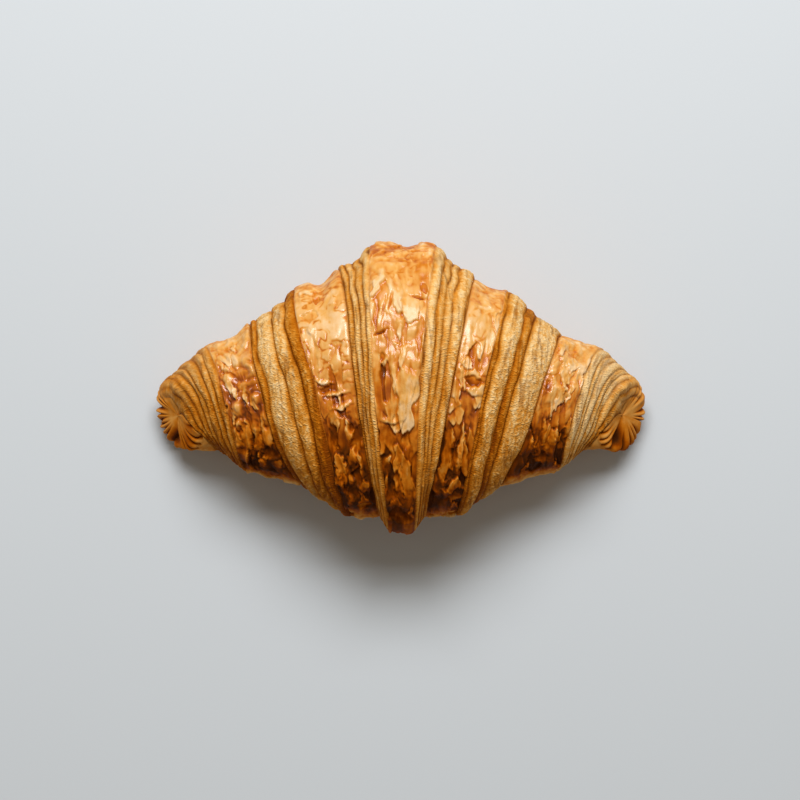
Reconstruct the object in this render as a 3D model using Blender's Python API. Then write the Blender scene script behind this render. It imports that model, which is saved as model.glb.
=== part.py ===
"""Butter croissant: a triangle of laminated dough, rolled up from its base and baked.

The whole croissant is one closed solid. A UV sphere with its poles at the two tips gives the
faces, and each vertex is then placed by the loft below. The loft knows the spiral that the edge
of the dough follows: from the tail of the triangle, a tongue that hangs down the front, over the
top, down the back, under the base and up the front again, wider at every turn until it runs off
at the tip. Along the spiral the dough ends in a band of cut layers, a staircase of ridges that
drops to the glazed skin of the turn below it.

Lengths are in millimetres and angles in degrees until the mesh is written in metres. X runs along
the croissant, -Y is the front where the tail hangs down, Z is up, and the base lies on Z = 0.
"""

import math

import bmesh
import bpy
import numpy as np

# Driving dimensions
LENGTH = 160.0
WIDTH = 93.0
HEIGHT = 58.0
MM = 0.001

# Facets: rows go round the croissant, columns go from tip to tip
ROWS = 48
LAYERS = 4
COLUMNS_PER_LAYER = 2
SKIN_COLUMNS = 4
MIDDLE_COLUMNS = 6
TIP_COLUMNS = 7

# The loft's stations, as distances from the middle along the axis
STATIONS = (0.0, 11.0, 22.0, 35.0, 51.0, 64.0, 74.0, 80.0)
AXIS_REACH = (0.0, 11.0, 22.0, 35.0, 51.0, 63.4, 72.0, 72.8)
AXIS_BACK = (0.0, -0.3, -1.3, -3.0, -5.6, -8.0, -11.6, -12.0)
AXIS_HEIGHT = (26.0, 25.6, 24.4, 21.8, 18.0, 15.2, 13.4, 13.6)
AXIS_TURN = (0.0, 1.5, 4.0, 7.0, 8.0, 12.0, 18.0, 18.0)
AXIS_RISE = (0.0, 0.0, 0.0, 1.0, 4.0, 14.0, 34.0, 42.0)

# Radii of the dough inside the steps, towards the front, back, top and base
CORE_FRONT = (28.6, 28.6, 27.6, 24.6, 18.2, 15.2, 12.2, 11.8)
CORE_BACK = (23.8, 23.3, 20.8, 17.6, 14.4, 12.2, 11.0, 10.8)
CORE_TOP = (16.3, 16.0, 15.2, 14.4, 13.9, 12.8, 11.4, 11.0)
CORE_BASE = (32.0, 31.6, 30.2, 27.0, 21.6, 16.0, 12.6, 12.2)

# Where the back bulges or sinks: place, angle, how far it reaches along and round, and the rise
SWELLS = (
    (-60.0, -84.0, 3.5, 34.0, 1.0),
    (-47.0, -84.0, 3.5, 34.0, 2.6),
    (-35.0, -84.0, 3.0, 34.0, -1.4),
    (-23.5, -84.0, 2.8, 34.0, -2.0),
    (-18.5, -82.0, 2.8, 30.0, 1.4),
    (-13.2, -84.0, 3.2, 34.0, -2.2),
    (2.0, -84.0, 3.5, 25.0, -1.4),
    (15.5, -82.0, 4.0, 34.0, -2.2),
    (26.0, -84.0, 4.5, 34.0, -2.2),
    (40.0, -84.0, 7.0, 34.0, -1.2),
)

# The spiral: half the width of the dough at each angle from the top of the first turn, measured
# to where its skin ends (inner edge) and to where its last layer ends (outer edge)
SPIRAL_ANGLES = (-90.0, -65.0, 0.0, 45.0, 90.0, 180.0, 270.0, 315.0, 360.0, 395.0, 450.0)
SPIRAL_ANGLES += (540.0, 630.0, 665.0, 690.0, 720.0, 770.0, 820.0, 900.0)
INNER_LEFT = (4.4, 5.0, 8.8, 9.6, 9.6, 13.0, 18.0, 23.6, 27.5, 31.0, 31.6)
INNER_LEFT += (40.0, 53.5, 57.0, 58.4, 60.0, 61.0, 62.0, 66.0)
OUTER_LEFT = (8.2, 9.2, 15.0, 16.6, 18.8, 25.0, 35.0, 42.0, 45.6, 46.8, 46.8)
OUTER_LEFT += (54.0, 63.5, 69.5, 76.5, 78.5, 78.5, 77.4, 76.8)
INNER_RIGHT = (4.8, 5.2, 6.2, 9.0, 10.9, 14.5, 20.5, 23.4, 26.6, 29.6, 31.6)
INNER_RIGHT += (41.0, 54.5, 57.2, 58.4, 60.0, 62.0, 64.0, 67.0)
OUTER_RIGHT = (8.8, 9.8, 16.8, 20.2, 22.0, 27.0, 34.5, 41.0, 45.4, 48.0, 50.0)
OUTER_RIGHT += (56.0, 63.5, 69.5, 76.5, 78.5, 78.5, 77.4, 76.8)
STEP_HEIGHT = (6.0, 6.0, 6.0, 6.0, 6.2, 7.0, 8.0, 8.0, 8.0, 8.0, 8.0)
STEP_HEIGHT += (7.6, 7.0, 6.7, 6.4, 6.0, 5.2, 4.0, 0.0)
TURNS = 3

# How much of a step's height shows towards the top and the base
STEP_ON_TOP = 0.75
STEP_ON_BASE = 0.30

# The tail's round end on the front: where its rounding begins, and the arm that turns degrees
# there into millimetres
TAIL_ANGLE = 74.0
TAIL_ARM = 44.0

# The cut layers: where each one ends as a share of its band, for each turn from the middle out
LAYER_EDGES_LEFT = ((0.0, 0.27, 0.54, 0.78, 1.0), (0.0, 0.22, 0.50, 0.87, 1.0), (0.0, 0.25, 0.5, 0.75, 1.0))
LAYER_EDGES_RIGHT = ((0.0, 0.27, 0.45, 0.64, 1.0), (0.0, 0.20, 0.37, 0.52, 1.0), (0.0, 0.25, 0.5, 0.75, 1.0))
LAYER_BULGE = 1.3
CREVICE_DEPTH = 1.4
CREVICE_WIDTH = 0.8

# The pleated ends
RIM = 73.5
RIM_ROUNDING = 3.2
FUNNEL_DEPTH = 3.0
PLEATS = 12
PLEAT_DEPTH = 0.6

CRUST_COLOUR = (0.50, 0.22, 0.055, 1.0)


def smooth_between(at, stations, values):
    """A smooth curve through the values at the stations, level beyond both ends."""
    stations = np.asarray(stations)
    values = np.asarray(values)
    slopes = np.gradient(values, stations)
    at = np.clip(at, stations[0], stations[-1])
    first = np.clip(np.searchsorted(stations, at, side="right") - 1, 0, len(stations) - 2)
    gap = stations[first + 1] - stations[first]
    share = (at - stations[first]) / gap
    rest = 1.0 - share
    start = values[first] * (1.0 + 2.0 * share) + slopes[first] * gap * share
    end = values[first + 1] * (1.0 + 2.0 * rest) - slopes[first + 1] * gap * rest
    return start * rest**2 + end * share**2


def ease(share):
    """0 below 0, 1 above 1, and a smooth rise between."""
    share = np.clip(share, 0.0, 1.0)
    return share * share * (3.0 - 2.0 * share)


def by_side(x_sign, left, right):
    return np.where(x_sign < 0.0, left, right)


def spiral_lines(x_sign, angle, turn):
    """The inner and outer edge of one turn's cut layers, at angles from the top to the front."""
    unrolled = 360.0 * turn - angle
    inner = by_side(
        x_sign,
        smooth_between(unrolled, SPIRAL_ANGLES, INNER_LEFT),
        smooth_between(unrolled, SPIRAL_ANGLES, INNER_RIGHT),
    )
    outer = by_side(
        x_sign,
        smooth_between(unrolled, SPIRAL_ANGLES, OUTER_LEFT),
        smooth_between(unrolled, SPIRAL_ANGLES, OUTER_RIGHT),
    )
    return inner, outer


def layer_height(share, edges):
    """A staircase from 1 to 0 over the band, and the bulge of each layer between its creases."""
    edges = np.asarray(edges)
    middles = (edges[:-1] + edges[1:]) / 2.0
    knots = np.sort(np.concatenate([edges, middles]))
    bulge = np.interp(share, knots, [0.0, 1.0] * LAYERS + [0.0])
    return 1.0 - np.clip(share, 0.0, 1.0), bulge


def step_profile(distance, x_sign, angle, turn):
    """What one turn of the dough adds to the radius at this distance and angle."""
    inner, outer = spiral_lines(x_sign, angle, turn)
    reach = distance
    if turn == 0:
        past_tail = np.maximum(angle - TAIL_ANGLE, 0.0)
        reach = np.hypot(distance, np.radians(past_tail) * TAIL_ARM)
    share = (reach - inner) / (outer - inner)
    fall_left, bulge_left = layer_height(share, LAYER_EDGES_LEFT[turn])
    fall_right, bulge_right = layer_height(share, LAYER_EDGES_RIGHT[turn])
    fall = by_side(x_sign, fall_left, fall_right)
    bulge = by_side(x_sign, bulge_left, bulge_right)
    height = smooth_between(360.0 * turn - angle, SPIRAL_ANGLES, STEP_HEIGHT)
    strength = height / max(STEP_HEIGHT)
    crevice = np.exp(-(((reach - outer) / CREVICE_WIDTH) ** 2))
    return height * fall + strength * (LAYER_BULGE * bulge - CREVICE_DEPTH * crevice)


def swell(place, angle):
    """The soft bulges and dips of the back, each a bell curve both ways."""
    total = 0.0
    for middle, level, along, around, rise in SWELLS:
        total = total + rise * np.exp(-(((place - middle) / along) ** 2) - ((angle - level) / around) ** 2)
    return total


def end_face(distance):
    """Past the rim: what is left of the radius, and how far the funnel stands out along the axis."""
    share = np.clip((distance - RIM) / (LENGTH / 2.0 - RIM), 0.0, 1.0)
    radius = np.cos(share * math.pi / 2.0) ** 0.8
    return radius, RIM_ROUNDING * np.sin(share * math.pi / 2.0) - FUNNEL_DEPTH * (1.0 - radius)


def pleats(distance, angle):
    """Radial pleats on the end face, which fade along the side."""
    on_face = ease((distance - RIM + 5.0) / 6.0) * ease((LENGTH / 2.0 - distance) / 1.5)
    return PLEAT_DEPTH * on_face * np.cos(np.radians(PLEATS * angle))


def loft(place, angle):
    """Points in space for signed distances along the axis and angles from the top to the front."""
    x_sign = np.sign(place)
    distance = np.abs(place)
    steps = sum(step_profile(distance, x_sign, angle, turn) for turn in range(TURNS))
    steps = steps + swell(place, angle)
    sine = np.sin(np.radians(angle))
    cosine = np.cos(np.radians(angle))
    front = smooth_between(distance, STATIONS, CORE_FRONT)
    back = smooth_between(distance, STATIONS, CORE_BACK)
    top = smooth_between(distance, STATIONS, CORE_TOP) + STEP_ON_TOP * steps
    base = smooth_between(distance, STATIONS, CORE_BASE) + STEP_ON_BASE * steps
    across = np.where(angle > 0.0, front, back) + steps
    upward = np.where(cosine > 0.0, top, base)
    radius, out = end_face(distance)
    pleat = pleats(distance, angle)
    back_offset = -sine * (across * radius + pleat)
    up_offset = cosine * (upward * radius + pleat)

    turn = np.radians(smooth_between(distance, STATIONS, AXIS_TURN))
    rise = np.radians(smooth_between(distance, STATIONS, AXIS_RISE))
    reach = smooth_between(distance, STATIONS, AXIS_REACH)
    x = reach + out * np.cos(rise) * np.cos(turn)
    x += back_offset * np.sin(turn) - up_offset * np.sin(rise) * np.cos(turn)
    y = smooth_between(distance, STATIONS, AXIS_BACK) - out * np.cos(rise) * np.sin(turn)
    y += back_offset * np.cos(turn) + up_offset * np.sin(rise) * np.sin(turn)
    z = smooth_between(distance, STATIONS, AXIS_HEIGHT) + out * np.sin(rise)
    z += up_offset * np.cos(rise)
    return np.stack([x_sign * x, y, np.maximum(z, 0.0)], axis=1)


def closed_line(x_sign, angle, turn, edge):
    """A mesh line that follows a spiral line over the top, and closes on itself under the base."""
    under = 120.0
    seen = spiral_lines(x_sign, np.clip(angle, -under, under), turn)[edge]
    front = spiral_lines(x_sign, np.full_like(angle, under), turn)[edge]
    back = spiral_lines(x_sign, np.full_like(angle, -under), turn)[edge]
    past = np.where(angle > 0.0, angle - under, angle + 360.0 - under)
    across = front + (back - front) * ease(past / (360.0 - 2.0 * under))
    return np.where(np.abs(angle) <= under, seen, across)


def column_marks():
    """The columns, counted from the middle, that lie on the spiral's lines and layer edges."""
    marks = [0.0]
    last = MIDDLE_COLUMNS / 2.0
    for turn in range(TURNS):
        marks.extend(last + COLUMNS_PER_LAYER * layer for layer in range(LAYERS + 1))
        last = marks[-1] + SKIN_COLUMNS
    marks.append(marks[-1] + TIP_COLUMNS)
    return np.array(marks)


def mark_distances(x_sign, angle):
    """How far from the middle each of those lines runs, one row for each vertex."""
    lines = [np.zeros_like(angle)]
    for turn in range(TURNS):
        inner = closed_line(x_sign, angle, turn, 0)
        outer = closed_line(x_sign, angle, turn, 1)
        for left, right in zip(LAYER_EDGES_LEFT[turn], LAYER_EDGES_RIGHT[turn]):
            lines.append(inner + (outer - inner) * by_side(x_sign, left, right))
    lines.append(np.full_like(angle, LENGTH / 2.0))
    return np.stack(lines, axis=1)


def column_places(column, angle):
    """Signed distance from the middle of each vertex, from its column counted from the middle."""
    x_sign = np.sign(column)
    marks = column_marks()
    distances = mark_distances(x_sign, angle)
    first = np.clip(np.searchsorted(marks, np.abs(column), side="right") - 1, 0, len(marks) - 2)
    share = (np.abs(column) - marks[first]) / (marks[first + 1] - marks[first])
    row = np.arange(len(column))
    start = distances[row, first]
    return x_sign * (start + (distances[row, first + 1] - start) * share)


def sphere_mesh(half_columns):
    """A UV sphere, and for each of its vertices the signed column and the angle from the top."""
    mesh = bpy.data.meshes.new("croissant")
    build = bmesh.new()
    bmesh.ops.create_uvsphere(build, u_segments=ROWS, v_segments=2 * half_columns, radius=1.0)
    build.to_mesh(mesh)
    build.free()
    points = np.empty(len(mesh.vertices) * 3)
    mesh.vertices.foreach_get("co", points)
    points = points.reshape(-1, 3)
    column = np.arcsin(np.clip(points[:, 2], -1.0, 1.0)) / math.pi * 2.0 * half_columns
    angle = np.degrees(np.arctan2(points[:, 1], points[:, 0]))
    return mesh, np.round(column), np.round(angle, 3)


def fitted(points):
    """Puts the middle of the box over the origin, with the base on Z = 0."""
    low = points.min(axis=0)
    high = points.max(axis=0)
    size = high - low
    middle = (low + high) / 2.0
    middle[2] = low[2]
    return (points - middle) * (np.array([LENGTH, WIDTH, HEIGHT]) / size)


def crust():
    material = bpy.data.materials.new("BakedCrust")
    material.use_nodes = True
    shader = material.node_tree.nodes["Principled BSDF"]
    shader.inputs["Base Color"].default_value = CRUST_COLOUR
    shader.inputs["Roughness"].default_value = 0.45
    shader.inputs["Metallic"].default_value = 0.0
    return material


def croissant(collection):
    mesh, column, angle = sphere_mesh(int(column_marks()[-1]))
    place = column_places(column, angle)
    points = fitted(loft(place, angle)) * MM
    mesh.vertices.foreach_set("co", points.ravel())
    mesh.update()
    mesh.shade_smooth()
    mesh.set_sharp_from_angle(angle=math.radians(50.0))
    mesh.materials.append(crust())
    obj = bpy.data.objects.new("croissant", mesh)
    collection.objects.link(obj)


def main():
    for obj in list(bpy.data.objects):
        bpy.data.objects.remove(obj, do_unlink=True)
    collection = bpy.data.collections.new("Croissant")
    bpy.context.scene.collection.children.link(collection)
    croissant(collection)


main()
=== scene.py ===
import math

import bpy
import numpy as np
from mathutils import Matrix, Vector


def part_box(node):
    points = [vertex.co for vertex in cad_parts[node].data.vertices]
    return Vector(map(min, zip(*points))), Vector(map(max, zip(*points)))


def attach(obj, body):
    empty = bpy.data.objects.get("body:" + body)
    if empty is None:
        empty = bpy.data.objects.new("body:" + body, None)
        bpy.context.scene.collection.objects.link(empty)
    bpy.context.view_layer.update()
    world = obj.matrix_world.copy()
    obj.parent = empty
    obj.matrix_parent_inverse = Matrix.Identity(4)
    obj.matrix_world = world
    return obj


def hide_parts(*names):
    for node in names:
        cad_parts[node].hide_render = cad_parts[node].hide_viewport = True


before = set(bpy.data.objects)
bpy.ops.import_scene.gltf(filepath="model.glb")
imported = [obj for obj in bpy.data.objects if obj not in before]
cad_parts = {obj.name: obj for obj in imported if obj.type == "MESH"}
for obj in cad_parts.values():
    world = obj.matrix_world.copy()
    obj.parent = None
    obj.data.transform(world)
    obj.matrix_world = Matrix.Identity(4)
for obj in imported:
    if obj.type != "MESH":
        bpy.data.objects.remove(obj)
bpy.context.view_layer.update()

mm = 0.001

# The rolled dough, in millimetres and degrees. Distances run from the middle to a tip along the
# axis, angles run from the top (0) to the front (90) or to the back (-90).
dough = {
    "half": 80.0,
    "stations": (0, 11, 22, 35, 51, 64, 74, 80),
    "reach": (0, 11, 22, 35, 51, 63.4, 72, 72.8),  # how far out the axis has come
    "back": (0, -0.3, -1.3, -3, -5.6, -8, -11.6, -12),  # the crescent's bend towards the front
    "height": (26, 25.6, 24.4, 21.8, 18, 15.2, 13.4, 13.6),  # the axis above the table
    "turn": (0, 1.5, 4, 7, 8, 12, 18, 18),  # the axis turns to the front
    "rise": (0, 0, 0, 1, 4, 14, 34, 42),  # and up
    "coreFront": (28.6, 28.6, 27.6, 24.6, 18.2, 15.2, 12.2, 11.8),  # the radius without the steps
    "coreBack": (23.8, 23.3, 20.8, 17.6, 14.4, 12.2, 11, 10.8),
    "coreTop": (16.3, 16, 15.2, 14.4, 13.9, 12.8, 11.4, 11),
    "coreBase": (32, 31.6, 30.2, 27, 21.6, 16, 12.6, 12.2),
    "stepOnTop": 0.75,  # share of a step's height that counts on top and under the base
    "stepOnBase": 0.3,
    "tailAngle": 74.0,  # past it the tail's end is round, about an arm of this length
    "tailArm": 44.0,
    "rim": 73.5,  # from the rim to the tip the radius closes in
    "rimRounding": 3.2,
    "rimPower": 0.8,
    "funnelDepth": 3.0,
    "turns": 3,
    "skinRadius": (40, 39, 36, 31, 24, 19, 13, 8),  # round figures, to lay patterns out on
}

# Where the back bulges or sinks: place and angle of the middle, reach along and round, and the rise
swells = (
    (-60, -84, 3.5, 34, 1), (-47, -84, 3.5, 34, 2.6), (-35, -84, 3, 34, -1.4), (-23.5, -84, 2.8, 34, -2),
    (-18.5, -82, 2.8, 30, 1.4), (-13.2, -84, 3.2, 34, -2.2), (2, -84, 3.5, 25, -1.4),
    (15.5, -82, 4, 34, -2.2), (26, -84, 4.5, 34, -2.2), (40, -84, 7, 34, -1.2),
)

# The spiral edge of the dough, unrolled from the tail: where the skin ends and the last layer ends
spiral = {
    "angles": (-90, -65, 0, 45, 90, 180, 270, 315, 360, 395, 450, 540, 630, 665, 690, 720, 770, 820, 900),
    "innerLeft": (4.4, 5, 8.8, 9.6, 9.6, 13, 18, 23.6, 27.5, 31, 31.6, 40, 53.5, 57, 58.4, 60, 61, 62, 66),
    "outerLeft": (
        8.2, 9.2, 15, 16.6, 18.8, 25, 35, 42, 45.6, 46.8, 46.8, 54, 63.5, 69.5, 77, 79.3, 79.3, 77.6, 76.8,
    ),
    "innerRight": (
        4.8, 5.2, 6.2, 9, 10.9, 14.5, 20.5, 23.4, 26.6, 29.6, 31.6, 41, 54.5, 57.2, 58.4, 60, 62, 64, 67,
    ),
    "outerRight": (
        8.8, 9.8, 16.8, 20.2, 22, 27, 34.5, 41, 45.4, 48, 50, 56, 63.5, 69.5, 77, 79.3, 79.3, 77.6, 76.8,
    ),
    "step": (6, 6, 6, 6, 6.2, 7, 8, 8, 8, 8, 8, 7.6, 7, 6.7, 6.4, 6, 5.2, 4, 0),
}

# The cut layers of each turn: their edges as shares of its band, how much darker each baked, and
# their relief in millimetres
layers = {
    "edgesLeft": (
        (0, 0.27, 0.54, 0.78, 1), (0, 0.22, 0.5, 0.87, 1), (0, 0.16, 0.31, 0.5, 0.63, 0.76, 0.86, 1),
    ),
    "edgesRight": (
        (0, 0.27, 0.45, 0.64, 1), (0, 0.07, 0.37, 0.52, 1), (0, 0.18, 0.3, 0.47, 0.61, 0.73, 0.87, 1),
    ),
    "bakeLeft": (
        (-0.17, -0.07, -0.17, -0.02),
        (0.38, 0.1, -0.02, 0.22),
        (0.06, 0.02, 0.12, 0.0, 0.1, 0.02, 0.12),
    ),
    "bakeRight": (
        (-0.14, -0.04, -0.14, 0.0),
        (0.14, 0.02, 0.24, -0.02),
        (-0.32, -0.28, -0.38, -0.22, -0.28, -0.12, 0.02),
    ),
    "bulge": 0.85,
    "flatness": 0.55,  # the power of the half sine, smaller is flatter
    "fullWidth": 3.0,  # a layer this wide bulges in full
    "sink": 0.4,
    "wander": 0.9,  # how far a crease strays sideways
    "fullBand": 8.0,  # in a band this wide it strays in full
    "fullStep": 6.0,  # a step this high shows its layers in full
    "creaseWidth": 0.24,
    "creviceDepth": 0.55,  # the gap between the last layer and the skin of the turn below
    "creviceWidth": 0.36,
    "lipDepth": 0.4,  # the groove between a skin's edge and its first layer
    "lipWidth": 0.4,
    "hairDepth": 0.2,
    "leafRise": 0.12,
    "leafBake": 0.16,
    "crumple": {"across": 0.85, "along": 2.2, "slope": 0.55, "seed": 65},
    "crumpleMiddle": 0.44,
    "bake": 0.16,  # with this share of the skin's own bake
    "skinShare": 0.5,
}

# Every noise on the crust: grain across and along the roll's way round in millimetres, seed, octaves
grains = {
    "sway": (6.0, 12.0, 3, 2),
    "gaps": (1.8, 7.0, 5, 2),
    "hair": (2.0, 18.0, 61, 2),
    "hairGaps": (2.5, 8.0, 63, 2),
    "leaf": (0.8, 9.0, 62, 2),
    "puff": (2.4, 2.6, 67, 2),
    "bendAcross": (4.0, 6.0, 31, 2),
    "bendFront": (4.0, 6.0, 33, 2),
    "bendUp": (4.0, 6.0, 35, 2),
    "strand": (1.8, 12.0, 37, 2),
    "fold": (2.3, 11.0, 41, 2),
    "maze": (2.8, 2.6, 43, 2),
    "mazeGaps": (2.6, 3.4, 44, 2),
    "bubble": (3.0, 3.6, 45, 1),
    "bead": (1.4, 1.7, 46, 1),
    "bulge": (3.2, 9.0, 47, 2),
    "jag": (0.9, 1.3, 21, 2),
    "feather": (1.2, 4.5, 23, 2),
    "sheet": (4.2, 13.0, 22, 1),
    "underSheet": (3.4, 10.0, 25, 1),
    "markAcross": (2.6, 3.4, 85, 2),
    "markAround": (2.6, 3.4, 87, 2),
    "sweep": (7.0, 10.0, 51, 2),
    "dent": (3.2, 4.5, 53, 2),
    "baseBake": (5.0, 5.0, 83, 2),
    "patch": (3.0, 5.0, 81, 2),
    "fleck": (1.3, 2.2, 89, 2),
}


def smoothBetween(at, stations, values):
    # cubic Hermite curve through the values, its slopes taken from the neighbours, level outside
    stations = np.asarray(stations, float)
    values = np.asarray(values, float)
    slopes = np.gradient(values, stations)
    at = np.clip(at, stations[0], stations[-1])
    first = np.clip(np.searchsorted(stations, at, side="right") - 1, 0, len(stations) - 2)
    gap = stations[first + 1] - stations[first]
    share = (at - stations[first]) / gap
    rest = 1.0 - share
    start = values[first] * (1.0 + 2.0 * share) + slopes[first] * gap * share
    end = values[first + 1] * (1.0 + 2.0 * rest) - slopes[first + 1] * gap * rest
    return start * rest**2 + end * share**2


def ease(value, low=0.0, high=1.0):
    # 3x^2 - 2x^3 of the share between low and high, held at 0 and 1 outside
    share = np.clip((value - low) / (high - low), 0.0, 1.0)
    return share * share * (3.0 - 2.0 * share)


def latticeValue(i, j, k, seed):
    # a fixed pseudo-random number from 0 to 1 for each whole-numbered lattice point
    h = (i * 374761393 + j * 668265263 + k * 1440662683 + seed * 1274126177) & 0xFFFFFFFF
    h = ((h ^ (h >> 13)) * 1103515245) & 0xFFFFFFFF
    h = ((h ^ (h >> 16)) * 1597334677) & 0xFFFFFFFF
    return ((h ^ (h >> 15)) & 0xFFFFFF) / 16777215.0


def softNoise(at, seed, cellWidth=1.4, strength=2.1):
    # gradient noise: a slope of its own at each of the eight corners of a cell, blended by a quintic
    # fade, about -1 to 1 with lumps about as wide as one unit
    at = at / cellWidth
    cell = np.floor(at).astype(np.int64)
    part = at - cell
    fade = part**3 * (part * (part * 6.0 - 15.0) + 10.0)
    total = 0.0
    for dx in (0, 1):
        wx = fade[..., 0] if dx else 1.0 - fade[..., 0]
        for dy in (0, 1):
            wy = fade[..., 1] if dy else 1.0 - fade[..., 1]
            for dz in (0, 1):
                wz = fade[..., 2] if dz else 1.0 - fade[..., 2]
                pick = latticeValue(cell[..., 0] + dx, cell[..., 1] + dy, cell[..., 2] + dz, seed)
                turn = pick * 2.0 * math.pi
                up = pick * 512.0 % 1.0 * 2.0 - 1.0  # the number's last digits, from -1 to 1
                flat = np.sqrt(1.0 - up * up)
                slope = np.cos(turn) * (part[..., 0] - dx) + np.sin(turn) * (part[..., 1] - dy)
                total = total + wx * wy * wz * (flat * slope + up * (part[..., 2] - dz))
    return total * strength


def roughNoise(at, seed, octaves=3, fall=0.5, shift=17.3):
    # soft noise summed over octaves, each moved on, at twice the detail and a share of the height
    total = 0.0
    height = 1.0
    most = 0.0
    for octave in range(octaves):
        total = total + height * softNoise(at * 2.0**octave + shift * octave, seed + octave)
        most += height
        height *= fall
    return total / most


def bySide(place, left, right):
    # one value left of the middle and the other right of it
    return np.where(place < 0.0, left, right)


def spiralLine(place, unrolled, edge):
    # the smooth curve of one edge of the dough, read at the angle unrolled from the tail
    left = smoothBetween(unrolled, spiral["angles"], spiral[edge + "Left"])
    right = smoothBetween(unrolled, spiral["angles"], spiral[edge + "Right"])
    return bySide(place, left, right)


def reachOf(place, angle, turn):
    # distance from the middle, or past the tail's angle the radius about the tail's round end
    distance = np.abs(place)
    if turn:
        return distance
    past = np.maximum(angle - dough["tailAngle"], 0.0)
    return np.hypot(distance, np.radians(past) * dough["tailArm"])


def bandOf(place, angle, turn):
    # where a turn's cut layers run: reach, inner edge, outer edge and the step's height
    unrolled = 360.0 * turn - angle
    inner = spiralLine(place, unrolled, "inner")
    outer = spiralLine(place, unrolled, "outer")
    height = smoothBetween(unrolled, spiral["angles"], spiral["step"])
    return reachOf(place, angle, turn), inner, outer, height


def rollForm(place, angle):
    # a core radius for each direction plus every turn's step, laid round a bent, rising axis
    distance = np.abs(place)
    side = bySide(place, -1.0, 1.0)
    steps = 0.0
    for turn in range(dough["turns"]):
        reach, inner, outer, height = bandOf(place, angle, turn)
        share = np.clip((reach - inner) / (outer - inner), 0.0, 1.0)
        steps = steps + height * (1.0 - share)
    for middle, level, along, around, rise in swells:
        steps = steps + rise * np.exp(-(((place - middle) / along) ** 2) - ((angle - level) / around) ** 2)
    sine = np.sin(np.radians(angle))
    cosine = np.cos(np.radians(angle))
    core = {}
    for name in ("coreFront", "coreBack", "coreTop", "coreBase", "turn", "rise", "reach", "back", "height"):
        core[name] = smoothBetween(distance, dough["stations"], dough[name])
    across = np.where(angle > 0.0, core["coreFront"], core["coreBack"]) + steps
    top = core["coreTop"] + dough["stepOnTop"] * steps
    base = core["coreBase"] + dough["stepOnBase"] * steps
    share = np.clip((distance - dough["rim"]) / (dough["half"] - dough["rim"]), 0.0, 1.0)
    left = np.cos(share * math.pi / 2.0) ** dough["rimPower"]  # of the radius, past the rim
    out = dough["rimRounding"] * np.sin(share * math.pi / 2.0) - dough["funnelDepth"] * (1.0 - left)
    backward = -sine * across * left
    upward = cosine * np.where(cosine > 0.0, top, base) * left
    turn = np.radians(core["turn"])
    rise = np.radians(core["rise"])
    x = core["reach"] + out * np.cos(rise) * np.cos(turn)
    x = x + backward * np.sin(turn) - upward * np.sin(rise) * np.cos(turn)
    y = core["back"] - out * np.cos(rise) * np.sin(turn)
    y = y + backward * np.cos(turn) + upward * np.sin(rise) * np.sin(turn)
    z = core["height"] + out * np.sin(rise) + upward * np.cos(rise)
    return np.stack([side * x, y, z], axis=-1)


def boxFit():
    # scale and shift that bring the form's own box onto the CAD node's box, in millimetres
    place, angle = np.meshgrid(np.linspace(-80, 80, 641), np.arange(-180, 180, 3.0), indexing="ij")
    raw = rollForm(place, angle).reshape(-1, 3)
    raw[:, 2] = np.maximum(raw[:, 2], 0.0)
    low, high = (np.array(corner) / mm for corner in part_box("croissant"))
    scale = (high - low) / (raw.max(axis=0) - raw.min(axis=0))
    return scale, low - raw.min(axis=0) * scale


fitScale, fitShift = boxFit()


def formPoint(place, angle):
    # the form times the scale, plus the shift
    return rollForm(place, angle) * fitScale + fitShift


def formNormal(place, angle):
    # cross product of the form's slopes along the axis and round it
    stepAlong, stepRound = 0.35, 1.2
    inside = np.clip(place, -dough["half"] + stepAlong, dough["half"] - stepAlong)
    along = formPoint(inside + stepAlong, angle) - formPoint(inside - stepAlong, angle)
    ahead = (angle + stepRound + 180.0) % 360.0 - 180.0
    behind = (angle - stepRound + 180.0) % 360.0 - 180.0
    around = formPoint(inside, ahead) - formPoint(inside, behind)
    normal = np.cross(around, along)
    return normal / np.maximum(np.linalg.norm(normal, axis=-1, keepdims=True), 1e-9)


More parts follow.
